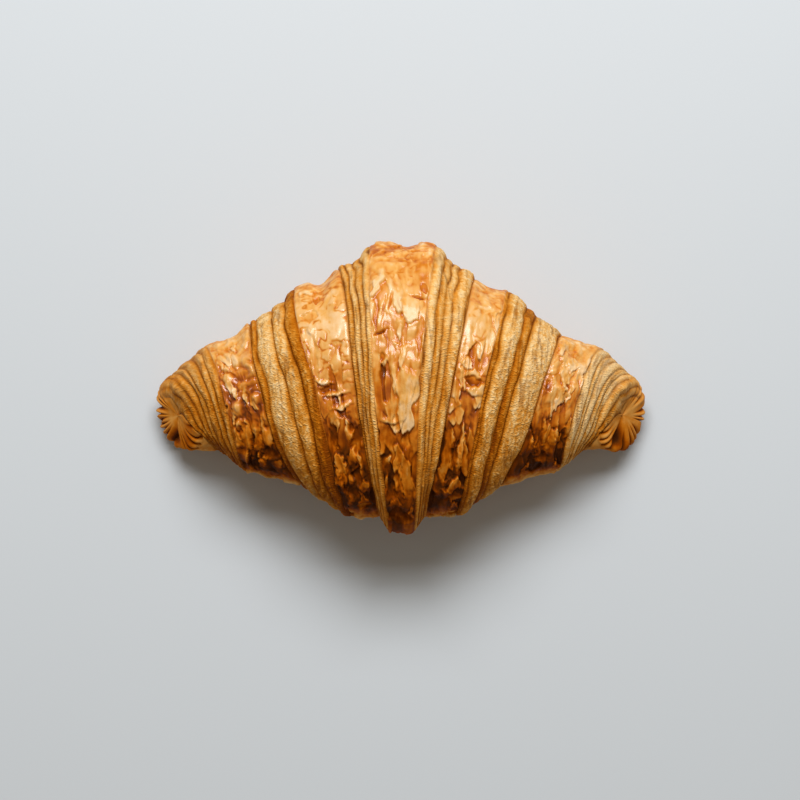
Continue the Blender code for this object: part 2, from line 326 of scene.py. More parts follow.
# How each turn's skin baked, at angles from the back over the top to the front. Tear is the share of
# the crisp outer sheet that has flaked off and loss that of the sheet below it; bake runs from pale
# to dark. Folds run round the roll, crinkles are a maze of thin creases, and bubbles are blisters.
skinAngles = (-95, -60, -30, 0, 30, 60, 95)
skins = {
    "centre": {
        "bake": (0.38, 0.32, 0.22, 0.44, 0.60, 0.84, 0.50),
        "tear": (0.1, 0.22, 0.22, 0.28, 0.55, 0.70, 0.50),
        "loss": (0.0, 0.0, 0.06, 0.12, 0.22, 0.40, 0.20),
        "fold": (0.5, 0.8, 1.0, 0.9, 0.8, 0.7, 0.5),
        "crinkle": (0.4, 0.5, 0.4, 0.5, 0.3, 0.2, 0.2),
        "bubble": (0.3, 0.5, 0.1, 0.5, 0.4, 0.2, 0.2),
    },
    "secondLeft": {
        "bake": (0.28, 0.25, 0.20, 0.36, 0.70, 1.10, 0.50),
        "tear": (0.0, 0.06, 0.04, 0.08, 0.42, 0.60, 0.50),
        "loss": (0.0, 0.0, 0.04, 0.08, 0.22, 0.35, 0.20),
        "fold": (0.3, 0.4, 0.1, 0.15, 0.8, 1.0, 0.6),
        "crinkle": (0.2, 0.5, 1.2, 0.8, 0.4, 0.2, 0.2),
        "bubble": (0.1, 0.2, 0.06, 0.4, 0.6, 0.3, 0.2),
    },
    "secondRight": {
        "bake": (0.36, 0.33, 0.20, 0.42, 0.74, 0.98, 0.50),
        "tear": (0.0, 0.06, 0.05, 0.12, 0.44, 0.60, 0.50),
        "loss": (0.0, 0.0, 0.05, 0.10, 0.20, 0.35, 0.20),
        "fold": (0.3, 0.5, 0.35, 0.4, 1.2, 1.1, 0.6),
        "crinkle": (0.2, 0.3, 0.7, 0.6, 0.2, 0.1, 0.2),
        "bubble": (0.1, 0.2, 0.06, 0.2, 0.4, 0.2, 0.2),
    },
    "thirdLeft": {
        "bake": (0.28, 0.27, 0.40, 0.66, 0.54, 1.04, 0.50),
        "tear": (0.0, 0.0, 0.0, 0.0, 0.12, 0.40, 0.30),
        "loss": (0.0, 0.0, 0.0, 0.0, 0.10, 0.25, 0.20),
        "fold": (0.3, 0.6, 0.4, 0.3, 0.7, 1.0, 0.6),
        "crinkle": (0.2, 0.2, 0.3, 0.3, 0.3, 0.2, 0.2),
        "bubble": (0.1, 0.4, 1.0, 1.3, 1.2, 0.7, 0.3),
    },
    "thirdRight": {
        "bake": (0.29, 0.27, 0.26, 0.46, 0.62, 0.96, 0.50),
        "tear": (0.0, 0.0, 0.02, 0.08, 0.35, 0.50, 0.40),
        "loss": (0.0, 0.0, 0.0, 0.04, 0.15, 0.30, 0.20),
        "fold": (0.3, 0.5, 0.9, 0.9, 1.0, 1.0, 0.6),
        "crinkle": (0.2, 0.3, 0.4, 0.4, 0.2, 0.2, 0.2),
        "bubble": (0.1, 0.3, 0.6, 0.6, 0.4, 0.3, 0.3),
    },
}

# Flakes, beads, slits and pits that can be told apart on the crust: place and angle of the middle,
# half sizes across and along the roll's way round, tilt in degrees, how far it stands out of the
# outer sheet or cuts in, bake, wash and how jagged the edge is
marks = (
    (2.9, -28, 3.0, 4.2, 6, 0.5, 0.05, 0.4, 0.8),  # centre, from the back to the tail
    (-0.9, -31, 1.5, 3.8, -10, 0.4, 0.07, 0.4, 0.7),
    (-6.7, -41, 1.5, 4.6, 22, 0.5, 0.06, 0.3, 0.4),
    (5.3, -34, 2.3, 0.4, 16, -1.2, 0.82, 0.3, 0.3),
    (6.8, -66, 3.4, 0.4, 4, -1.1, 0.6, 0.3, 0.4),
    (-2.5, -60, 2.6, 0.35, -12, -0.9, 0.6, 0.3, 0.4),
    (-3.1, -32, 0.4, 3.0, 13, -0.8, 0.64, 0.8, 0.3),
    (-4.9, -30, 0.4, 2.6, 13, -0.7, 0.56, 0.8, 0.3),
    (-7.4, -25, 0.6, 4.4, 0, -1.0, 0.7, 0.7, 0.3),
    (-6.3, -18, 2.1, 0.4, -22, -1.5, 0.95, 0.3, 0.4),
    (-7.3, 0, 1.3, 10.0, -4, -0.5, 0.54, 0.8, 0.3),
    (-5.2, -8, 0.8, 1.7, 10, -1.2, 0.72, 0.8, 0.5),
    (-3.8, -13, 0.35, 1.8, 0, -0.6, 0.6, 0.7, 0.3),
    (5.6, -16, 0.8, 5.8, 3, -0.8, 0.58, 0.9, 0.3),
    (-3.8, 24, 2.4, 5.2, -3, -0.5, 0.68, 0.9, 0.4),
    (-1.4, 13.5, 2.4, 4.8, 0, 0.45, 0.24, 0.4, 0.6),
    (1.6, 8.5, 3.1, 9.4, 2, 0.9, 0.16, 0.3, 0.5),
    (-3.3, 16, 1.9, 0.6, 0, 1.0, 0.24, 1.0, 0.3),
    (1.8, 23.5, 1.2, 1.7, 0, -1.5, 0.7, 0.8, 0.6),
    (-7.8, 23, 0.9, 4.0, 0, -1.9, 0.9, 0.8, 0.5),
    (-5.2, 32.0, 1.5, 3.6, 6, -1.4, 0.92, 0.5, 0.7),
    (-3.3, 45.5, 1.7, 4.0, 0, -1.8, 1.0, 0.2, 0.7),
    (-1.6, 60, 4.1, 3.6, 0, -2.6, 0.92, 0.1, 0.6),
    (0.5, 37, 2.6, 7.8, -9, 0.6, 0.5, 0.35, 1.3),
    (-1.6, 39, 1.0, 2.2, 20, -0.9, 0.74, 0.5, 0.6),
    (-4.5, 31.5, 0.8, 1.5, 25, 0.5, 0.34, 0.6, 0.5),
    (-5.2, 42, 0.7, 3.2, 5, 0.3, 0.5, 0.4, 0.6),
    (-2.4, 53, 2.0, 1.6, 0, 0.2, 0.76, 0.3, 1.0),
    (-27.1, -60, 2.5, 2.6, 0, 0.4, 0.06, 0.4, 0.8),  # second turn, left
    (-27.2, -37, 1.5, 2.6, 0, -0.7, 0.5, 0.8, 0.8),
    (-26.9, -15, 1.1, 10.0, -8, -0.5, 0.46, 1.0, 0.3),
    (-19.6, -18, 1.0, 1.4, 0, -0.7, 0.52, 1.0, 0.5),
    (-20.0, -4, 1.0, 1.2, 0, -0.6, 0.55, 1.0, 0.5),
    (-24.2, 4.5, 1.9, 1.3, -15, -1.8, 0.9, 0.6, 0.6),
    (-24.4, 0.5, 1.8, 0.6, 8, 0.8, 0.12, 1.0, 0.4),
    (-20.6, 6, 2.7, 0.6, -4, 0.7, 0.16, 1.0, 0.4),
    (-19.0, 11.5, 2.3, 0.7, -6, 0.7, 0.2, 1.0, 0.4),
    (-24.7, 13, 1.7, 2.0, 0, 0.2, 0.5, 1.0, 0.3),
    (-22.2, 26, 1.4, 4.0, -8, -1.8, 0.86, 0.5, 0.7),
    (-15.2, 26, 1.6, 4.4, -6, -1.7, 0.84, 0.6, 0.7),
    (-16.6, 20, 0.9, 1.3, 0, -1.9, 0.92, 0.6, 0.5),
    (-14.8, 44, 1.6, 4.0, 0, -1.6, 1.0, 0.2, 0.7),
    (-20.8, 41, 1.9, 6.2, -5, 0.4, 0.5, 0.4, 1.3),
    (-16.6, 34, 1.8, 2.6, 8, 0.3, 0.46, 0.5, 1.0),
    (-17.2, 47, 0.8, 2.6, 0, 0.4, 0.56, 0.4, 0.6),
    (-19.9, 52, 0.6, 2.0, 0, -1.6, 0.93, 0.3, 0.6),
    (-16.8, 53.5, 1.7, 3.8, 4, -1.2, 0.98, 0.2, 0.6),
    (-12.3, 65, 2.3, 1.5, 0, -1.2, 0.8, 0.3, 0.5),
    (25.0, -43, 2.0, 1.6, 0, -0.5, 0.4, 1.0, 0.8),  # second turn, right
    (26.3, -17, 1.0, 8.0, 8, -0.6, 0.5, 1.0, 0.3),
    (16.9, -15, 0.5, 6.5, 5, -1.1, 0.62, 0.7, 0.3),
    (15.8, -12, 0.7, 6.5, 5, 0.8, 0.12, 0.7, 0.3),
    (22.4, -2.5, 1.9, 1.5, 0, -0.4, 0.5, 1.0, 0.4),
    (22.9, 0.5, 2.3, 1.6, 6, -1.5, 0.86, 0.5, 0.6),
    (22.8, 5, 2.3, 0.7, 4, 0.6, 0.2, 1.0, 0.4),
    (16.0, 13, 1.3, 0.9, 0, 0.7, 0.18, 1.0, 0.4),
    (17.3, 18, 0.9, 1.3, 0, 0.7, 0.22, 1.0, 0.4),
    (23.9, 10, 0.8, 1.2, 0, 0.6, 0.24, 1.0, 0.4),
    (15.4, 34, 1.5, 9.0, 4, -0.8, 0.66, 0.9, 0.5),
    (19.9, 33, 0.9, 8.0, 3, 0.6, 0.42, 0.7, 0.5),
    (18.1, 34, 0.6, 4.5, 3, -1.7, 0.9, 0.4, 0.5),
    (19.0, 58.5, 3.3, 1.7, -4, -1.3, 0.8, 0.2, 0.4),
    (18.7, 50, 2.9, 2.8, 0, 0.4, 0.52, 0.4, 0.7),
    (18.6, 77, 2.4, 0.6, 0, -1.4, 0.9, 0.2, 0.4),
    (19.0, 82, 2.6, 1.0, 0, 0.6, 0.36, 0.3, 0.5),
    (-55.9, -38, 1.8, 3.2, -10, 0.3, 0.12, 0.8, 0.5),  # third turn, left
    (-44.9, 45, 1.8, 3.0, 0, -1.4, 0.9, 0.3, 0.8),
    (-59.4, 8, 1.3, 0.8, -20, -1.2, 0.85, 0.6, 0.5),
    (46.9, -8, 0.9, 1.6, 0, -1.0, 0.7, 1.0, 0.5),  # third turn, right
    (55.6, -31, 1.5, 3.0, 10, 0.4, 0.12, 0.6, 0.5),
    (57.4, 24, 1.2, 3.0, 12, 0.4, 0.4, 0.5, 0.8),
    (55.7, 37, 0.8, 3.0, 8, -1.8, 0.95, 0.3, 0.6),
    (51.4, 36, 1.7, 3.4, 10, 0.4, 0.5, 0.4, 1.0),
    (48.8, 51, 2.0, 2.4, 0, -1.4, 0.9, 0.3, 0.8),
)

# Rolled lumps and hollows on the ends: place and angle of the middle, reach along and round, rise in
# millimetres, and how much darker it is: a darker bake on a lump, painted shade in a hollow
ends = (
    (-76.0, -58, 1.9, 15, 1.4, 0.35),
    (-74.6, -98, 2.4, 20, 0.7, 0.3),
    (-76.5, 74, 2.0, 40, -0.4, 0.3),
    (-77.2, 128, 1.6, 16, -1.6, 0.6),
    (76.0, -52, 1.9, 15, 1.4, 0.35),
    (74.6, -95, 2.4, 20, 0.7, 0.3),
    (77.6, 92, 1.5, 20, -2.4, 0.9),
    (75.2, 128, 1.8, 26, 0.5, 0.35),
)


def skinLook(place, angle, turnAt):
    # each look runs straight from angle to angle, for every skin, and the point's turn and side pick one
    names = (("centre", "centre"), ("secondLeft", "secondRight"), ("thirdLeft", "thirdRight"))
    look = {}
    for key in ("bake", "tear", "loss", "fold", "crinkle", "bubble"):
        value = 0.0
        for turn, (left, right) in enumerate(names):
            here = bySide(
                place,
                np.interp(angle, skinAngles, skins[left][key]),
                np.interp(angle, skinAngles, skins[right][key]),
            )
            value = np.where(np.minimum(turnAt, 2) == turn, here, value)
        look[key] = value
    return look


def layerRidges(place, share, turn, width):
    # between creases each layer swells as a flattened half sine; also how near the next crease is,
    # how wide the layer is and its number
    found = [0.0, 0.0, 0.0, 0.0]
    for sign, edges in ((-1.0, layers["edgesLeft"][turn]), (1.0, layers["edgesRight"][turn])):
        edges = np.asarray(edges, float)
        here = bySide(place, -1.0, 1.0) == sign
        first = np.clip(np.searchsorted(edges, share, side="right") - 1, 0, len(edges) - 2)
        gap = (edges[first + 1] - edges[first]) * width
        part = np.clip((share - edges[first]) * width / gap, 0.0, 1.0)
        dome = np.sin(math.pi * part) ** layers["flatness"] * np.clip(gap / layers["fullWidth"], 0.4, 1.3)
        near = np.minimum(part, 1.0 - part) * gap
        found = [np.where(here, new, old) for new, old in zip((dome, near, gap, first), found)]
    return found


def grain(spot, name):
    # rough noise drawn out along the roll's way round
    across, around, seed, octaves = grains[name]
    return roughNoise(spot / np.array([across, around, around]), seed, octaves)


def crease(noise, width):
    # 1 along the line where the noise crosses zero, falling off as a bell curve
    return np.exp(-((noise / width) ** 2))


def tearLine(share):
    # the noise value below which that share of a sheet is gone, none at all for a share of 0
    return 0.9 * (share - 0.5) - 0.8 * (1.0 - ease(share, 0.0, 0.08))


def crossHatch(place, angle, radius, across, along, slope, seed):
    # two sets of long wrinkles that cross on the slant, each the distance of its noise from zero
    arc = np.radians(angle) * radius
    total = 0.0
    for turned, number in ((slope, seed), (-slope, seed + 1)):
        lean = place + turned * arc
        run = arc - turned * place
        flat = np.stack([lean / across, run / along, np.zeros_like(lean)], axis=-1)
        total = total + np.abs(roughNoise(flat, number, 2))
    return total


def cutBands(place, angle, radius, spot, seen):
    # each turn's band: rounded ridges with creases between, thin leaves along them, crumples across
    band = {key: np.zeros_like(place) for key in ("lift", "groove", "cut", "crease", "tone", "turn")}
    sway = grain(spot, "sway") * layers["wander"]
    broken = ease(grain(spot, "gaps"), -0.3, 0.3)
    hair = crease(grain(spot, "hair"), 0.12) * ease(grain(spot, "hairGaps"), -0.2, 0.2)
    leaves = grain(spot, "leaf")
    crumple = crossHatch(place, angle, radius, **layers["crumple"]) - layers["crumpleMiddle"]
    puffs = grain(spot, "puff")
    for turn in range(dough["turns"]):
        reach, inner, outer, height = bandOf(place, angle, turn)
        width = outer - inner
        strayed = reach + sway * np.clip(width / layers["fullBand"], 0.3, 1.0)
        share = np.clip((strayed - inner) / width, 0.0, 1.0)
        inside = ease(reach - inner, -0.2, 0.2) * (1.0 - ease(reach - outer, -0.2, 0.2))
        tall = np.clip(height / layers["fullStep"], 0.0, 1.0)
        strength = seen * inside * tall
        dome, near, gap, number = layerRidges(place, share, turn, width)
        wide = np.clip((gap - 1.5) / 3.0, 0.0, 1.0)
        worn = wide * ease(near, 0.5, 1.3)  # the pale crumpled middle of a wide layer
        rough = np.clip(dome, 0.0, 1.0) * ((0.06 + 0.2 * worn) * crumple + (0.05 + 0.06 * worn) * puffs)
        ridge = layers["bulge"] * dome - layers["sink"] + rough
        ridge = ridge - layers["hairDepth"] * hair + layers["leafRise"] * leaves
        band["lift"] += strength * ridge
        # the thin creases between layers and the hair lines get painted shade
        fine = crease(near, layers["creaseWidth"]) * (0.3 + 0.6 * broken)
        band["crease"] = np.maximum(band["crease"], strength * np.maximum(fine, 0.5 * hair))
        band["cut"] = np.maximum(band["cut"], strength)
        baked = bySide(
            place,
            np.take(layers["bakeLeft"][turn], number.astype(int), mode="clip"),
            np.take(layers["bakeRight"][turn], number.astype(int), mode="clip"),
        )
        paler = baked + 0.2 * crease(near, 0.6) - 0.16 * worn
        # crumples and puffs come out paler on their rises and darker in their hollows: painted light and
        # shade
        band["tone"] += strength * (paler - (0.12 + 0.25 * worn) * crumple - 0.1 * puffs)
        # grooves along both edges of the band, fainter under the base and deeper towards the front, with
        # painted shade in them
        deep = tall * (0.35 + 0.65 * seen) * (0.55 + 0.45 * ease(angle, 0.0, 50.0))
        crevice = crease(reach - outer, layers["creviceWidth"])
        lip = crease(reach - inner, layers["lipWidth"])
        band["groove"] -= deep * (layers["creviceDepth"] * crevice + layers["lipDepth"] * lip)
        dark = np.maximum(0.6 * crevice, 0.4 * lip * broken)
        band["crease"] = np.maximum(band["crease"], deep * dark)
        band["turn"] = np.where(reach > outer, turn + 1.0, band["turn"])
    band["tone"] += band["cut"] * layers["leafBake"] * leaves
    return band


# The three sheets of a skin, from the strands at the bottom to the crisp outer sheet: levels and
# relief in millimetres, and how much each form changes the bake
sheets = {
    "bend": 1.3,
    "strandLevel": -1.0,
    "strandRise": 0.4,
    "strandBake": (0.20, 0.10),  # in all, and once more between the strands
    "underLevel": -0.5,
    "underBulge": 0.8,
    "underFold": 0.3,
    "underRim": 0.12,
    "underBake": (0.10, -0.40, -0.10),  # in all, on a bulge and on a torn edge
    "bulgeMiddle": 0.15,
    "foldRise": (0.9, -0.2),  # times the fold, and in all
    "bubbleRise": (1.1, -0.3),
    "beadShare": 0.25,
    "mazeDepth": 0.1,
    "mazeWidth": 0.13,
    "mazePaintedShade": 0.36,
    "rimRise": 0.16,
    "rimPaintedHighlight": -0.18,
    "puffBake": -0.42,  # on folds and bubbles, where they rise above their middles
    "bubbleMiddle": 0.22,
    "foldMiddle": 0.15,
    "tornWidth": 0.6,  # how far behind a point the sheet is looked for
    "noiseHeight": 1.3,
    "softEdge": 0.03,
    "washBelow": 0.55,  # the strands hold this much of the wash
}


def skinSheets(spot, behind, look):
    # three sheets, each gone where its noise is under its tear line: strands, amber sheet, outer sheet
    bends = [grain(spot, name) for name in ("bendAcross", "bendFront", "bendUp")]
    bent = spot + sheets["bend"] * np.stack(bends, axis=-1)
    strand = 1.0 - 2.4 * np.abs(grain(bent, "strand"))
    fold = np.abs(grain(bent, "fold"))
    maze = crease(grain(bent, "maze"), sheets["mazeWidth"]) * ease(grain(bent, "mazeGaps"), -0.25, 0.15)
    bubble = np.abs(grain(bent, "bubble")) + sheets["beadShare"] * np.abs(grain(bent, "bead"))
    bulge = np.abs(grain(bent, "bulge"))
    jag = grain(spot, "jag")
    feather = grain(spot, "feather")

    high = sheets["noiseHeight"]
    ragged = 0.07 * jag + 0.16 * feather
    sheet = high * grain(spot, "sheet") + ragged
    under = high * grain(spot, "underSheet") + 0.3 * sheet + 0.12 * feather
    torn = tearLine(look["tear"])
    lost = tearLine(look["loss"])
    soft = sheets["softEdge"]
    kept = ease(sheet - torn, -soft, soft)
    keptUnder = ease(under - lost, -soft, soft)
    # a torn edge that looks to the back stands up and gets a pale painted highlight
    sheetBehind = high * grain(behind, "sheet") + ragged
    rim = kept * (1.0 - ease(sheetBehind - torn, -0.06, 0.02))
    rimUnder = crease(under - lost - 0.05, 0.06)

    strandLevel = sheets["strandLevel"] + sheets["strandRise"] * strand
    underLevel = sheets["underLevel"] + sheets["underBulge"] * bulge
    underLevel = underLevel + sheets["underFold"] * look["fold"] * fold + sheets["underRim"] * rimUnder
    foldRise, foldSink = sheets["foldRise"]
    bubbleRise, bubbleSink = sheets["bubbleRise"]
    outerLevel = (
        look["fold"] * (foldRise * fold + foldSink)
        + look["bubble"] * (bubbleRise * bubble + bubbleSink)
        - sheets["mazeDepth"] * look["crinkle"] * maze + sheets["rimRise"] * rim
    )
    level = strandLevel + (underLevel - strandLevel) * keptUnder
    level = level + (outerLevel - level) * kept

    allOver, between = sheets["strandBake"]
    strandBake = look["bake"] + allOver + between * (1.0 - strand)
    allOver, onBulge, onRim = sheets["underBake"]
    underBake = look["bake"] + allOver + onBulge * (bulge - sheets["bulgeMiddle"]) + onRim * rimUnder
    puff = look["bubble"] * (bubble - sheets["bubbleMiddle"]) + look["fold"] * (fold - sheets["foldMiddle"])
    outerBake = look["bake"] + sheets["puffBake"] * puff
    # the crinkles' thin creases come out darker: painted shade
    outerBake = outerBake + sheets["mazePaintedShade"] * look["crinkle"] * maze + sheets["rimPaintedHighlight"] * rim
    bake = strandBake + (underBake - strandBake) * keptUnder
    bake = bake + (outerBake - bake) * kept
    washBelow = sheets["washBelow"]
    wash = washBelow + (1.0 - washBelow) * np.maximum(kept, keptUnder)
    return level, bake, wash, strand, jag


# Flakes and hollows: how they bend, stand off and shade, in millimetres and shares of the bake
flaking = {
    "bend": 2.0,
    "taper": 0.45,  # how much narrower the narrow end is
    "frontFrom": 20.0,  # the angle from which the narrow end turns round
    "jag": 0.6,
    "stand": 0.7,  # of the height that the mark's row gives
    "follow": 0.6,  # share of the skin's own relief that a flake keeps
    "strand": 0.2,
    "rimRise": 0.08,
    "rimPaintedHighlight": 0.10,
    "gapDepth": 0.2,
    "gapPaintedShadow": 0.14,
    "hollowWash": 0.55,
    "seed": 12,
    "strewn": ((0, 1, 8), (1, -1, 16), (1, 1, 16), (2, -1, 16), (2, 1, 18)),  # turn, side and count
    "angles": (-60.0, 52.0, 72.0),  # of small flakes: least, most likely and greatest
    "shares": (0.12, 0.9),  # of the skin's width that they keep to
    "leastHalf": (0.6, 2.0),
    "mostHalf": (1.5, 5.0),
    "tiltSpread": 10.0,
    "rises": (0.1, 0.5),
    "bakes": (0.12, 0.52, -10.0, 62.0),  # on the back, gained on the front, and the angles between
    "bakeSpread": (-0.05, 0.12),
    "washAndJag": (0.5, 0.9),
}


def markDepth(place, angle, radius, mark, jag, bend):
    # how far inside a bent and jagged flame each point lies, in millimetres, below 0 outside, and how
    # far it is from the middle towards the narrow end, which points forward on the back and the top of
    # the roll and up to the top on its front
    middle, facing, halfAcross, halfAround = mark[:4]
    loose = 0.5 * min(halfAcross, halfAround, 1.6)
    across = place - middle + loose * bend[..., 0]
    around = np.radians(angle - facing) * radius + loose * bend[..., 1]
    tilt = math.radians(mark[4])
    u = (across * math.cos(tilt) + around * math.sin(tilt)) / halfAcross
    v = (around * math.cos(tilt) - across * math.sin(tilt)) / halfAround
    ahead = v if facing < flaking["frontFrom"] else -v
    ring = np.hypot(u * (1.0 + flaking["taper"] * np.clip(ahead, -0.4, 1.0)), v)
    return (1.0 - ring) * min(halfAcross, halfAround) + flaking["jag"] * mark[-1] * jag, ahead


def strewnMarks():
    # small loose flakes over each skin, more of them towards the front
    rng = np.random.default_rng(flaking["seed"])
    found = []
    for turn, side, count in flaking["strewn"]:
        angle = rng.triangular(*flaking["angles"], count)
        share = rng.uniform(*flaking["shares"], count)
        ones = np.full(count, float(side))
        outer = spiralLine(ones, 360.0 * turn - angle, "inner")
        inner = -outer if turn == 0 else spiralLine(ones, 360.0 * (turn - 1) - angle, "outer")
        middle = side * (inner + (outer - inner) * share)
        tilt = side * rng.normal(0.0, flaking["tiltSpread"], count)
        half = rng.uniform(flaking["leastHalf"], flaking["mostHalf"], (count, 2))
        rise = rng.uniform(*flaking["rises"], count)
        onBack, gained, first, last = flaking["bakes"]
        bake = onBack + gained * ease(angle, first, last) + rng.uniform(*flaking["bakeSpread"], count)
        for row in zip(middle, angle, half[:, 0], half[:, 1], tilt, rise, bake):
            found.append(row + flaking["washAndJag"])
    return found


def layMarks(place, angle, radius, spot, level, bake, wash, strand, jag):
    # flakes grow out of the sheet at one end and stand off it at the other, with a shaded gap round
    # that end; hollows cut through the sheet
    bend = flaking["bend"] * np.stack([grain(spot, "markAcross"), grain(spot, "markAround")], axis=-1)
    for mark in strewnMarks() + list(marks):
        middle, facing, halfAcross, halfAround = mark[:4]
        rise, ownBake, ownWash = mark[5:8]
        size = max(halfAcross, halfAround) + 2.0
        near = (np.abs(place - middle) < size) & (np.abs(angle - facing) * 0.25 < size)
        if not near.any():
            continue
        depth, ahead = markDepth(place[near], angle[near], radius[near], mark, jag[near], bend[near])
        raised = 1.0 if rise > 0.0 else 0.0
        free = ease(ahead, -0.6, 0.4)  # 1 at the torn end
        soft = 0.12 + 0.6 * (1.0 - free) if raised else 0.08 + 0.25 * min(halfAcross, halfAround)
        on = ease(depth, -soft, soft)
        rim = raised * crease(depth - 0.25, 0.25) * free
        gap = raised * crease(depth + 0.4, 0.3) * (1.0 - on) * free
        own = flaking["stand"] * rise + flaking["follow"] * raised * level[near]
        own = own + flaking["rimRise"] * rim + flaking["strand"] * strand[near]
        level[near] += (own - level[near]) * on
        # a hollow is made paler away from its torn end, leaving painted shade along that end; a flake is
        # darker towards the end it grows from
        shade = 0.08 * strand[near] + 0.10 * jag[near] + (0.22 - 0.32 * raised) * (1.0 - free)
        # a flake's torn rim is made paler: a painted highlight
        bake[near] += (ownBake - flaking["rimPaintedHighlight"] * rim - shade - bake[near]) * on
        held = 1.0 if raised else flaking["hollowWash"]
        wash[near] += (held * ownWash - wash[near]) * on
        # the gap round a flake's torn end is dented and darkened with a painted shadow
        level[near] -= flaking["gapDepth"] * gap
        bake[near] += flaking["gapPaintedShadow"] * gap


def endLumps(place, angle):
    # bell curves on the ends, and how much each darkens: bake on a lump, painted shade in a hollow
    lift = 0.0
    shade = 0.0
    for middle, level, along, around, rise, bake in ends:
        bell = np.exp(-(((place - middle) / along) ** 2) - ((angle - level) / around) ** 2)
        lift = lift + rise * bell
        shade = shade + bake * bell
    return lift, shade


# Pleats gathered to the middle of each end, in degrees and millimetres
pleats = {
    "count": 20,
    "sway": 15.0,  # how far a pleat strays, over this many degrees round and millimetres along
    "swaySize": (23.0, 7.0),
    "flatness": 0.6,
    "height": 2.6,
    "middle": 0.75,  # the share of the height that lies on the form
    "vary": (0.6, 0.3, 13.0),  # the usual depth, how much it varies and over how many degrees
    "lowExtra": 0.4,  # they deepen low on the sides, from the first angle to the second
    "lowAngles": (80.0, 120.0),
    "rise": (71.5, 74.0),  # they deepen and fade between these distances from the middle
    "fall": (75.5, 79.2),
    # painted shade in the gaps between the pleats
    "shade": 1.1,
    "shadeFrom": (0.15, 0.85),
}


def endPleats(place, angle, side, cut):
    # the absolute sine of an angle that strays, deepest at the rim of each end, with painted shade darkest
    # in the gaps there
    distance = np.abs(place)
    around, along = pleats["swaySize"]
    stray = softNoise(np.stack([angle / around, side * 9.0, distance / along], axis=-1), 71)
    spin = np.radians((angle + pleats["sway"] * stray) * pleats["count"] / 2.0)
    pleat = np.abs(np.sin(spin)) ** pleats["flatness"]
    usual, vary, width = pleats["vary"]
    deepest = usual + vary * softNoise(np.stack([angle / width, side * 5.0, 0.0 * side], axis=-1), 73)
    deepest = deepest + pleats["lowExtra"] * ease(np.abs(angle), *pleats["lowAngles"])
    toRim = ease(distance, *pleats["rise"]) * (1.0 - ease(distance, *pleats["fall"]))
    deepest = deepest * toRim * (1.0 - cut)
    lift = pleats["height"] * deepest * (pleat - pleats["middle"])
    return lift, pleats["shade"] * deepest * (1.0 - ease(pleat, *pleats["shadeFrom"]))


# Over the whole crust: where it shows, broad unevenness in millimetres, patches of bake and the shine
overall = {
    "hidden": (100.0, 140.0),  # between these angles the detail fades out under the base
    "sweep": 0.8,
    "dent": 0.35,
    "sweepOnCut": 0.4,  # share of the unevenness that the cut layers keep
    "smoothAngle": -22.0,  # round this angle the second turn is smooth and pale
    "smoothReach": 22.0,
    "smoothShare": 0.7,
    "smoothBake": -0.1,
    "baseBake": (0.30, 0.12),  # of the base and the ends, and how much it varies
    # how much the pleats' painted shade darkens the ends
    "paintedPleatShade": 0.8,
    "patchBake": 0.09,
    "backPatches": (45.0, 75.0),  # the patches double in strength between these angles of the back
    "lipBake": -0.36,  # the pale strip low on the front, which fades in and out between these angles
    "lipFrom": (64.0, 76.0),
    "lipTo": (92.0, 110.0),
    "shineOnBack": 0.4,
    "shineBack": (-60.0, -35.0),
    "shineLoss": 0.96,
    "shineFront": (0.0, 34.0),
}


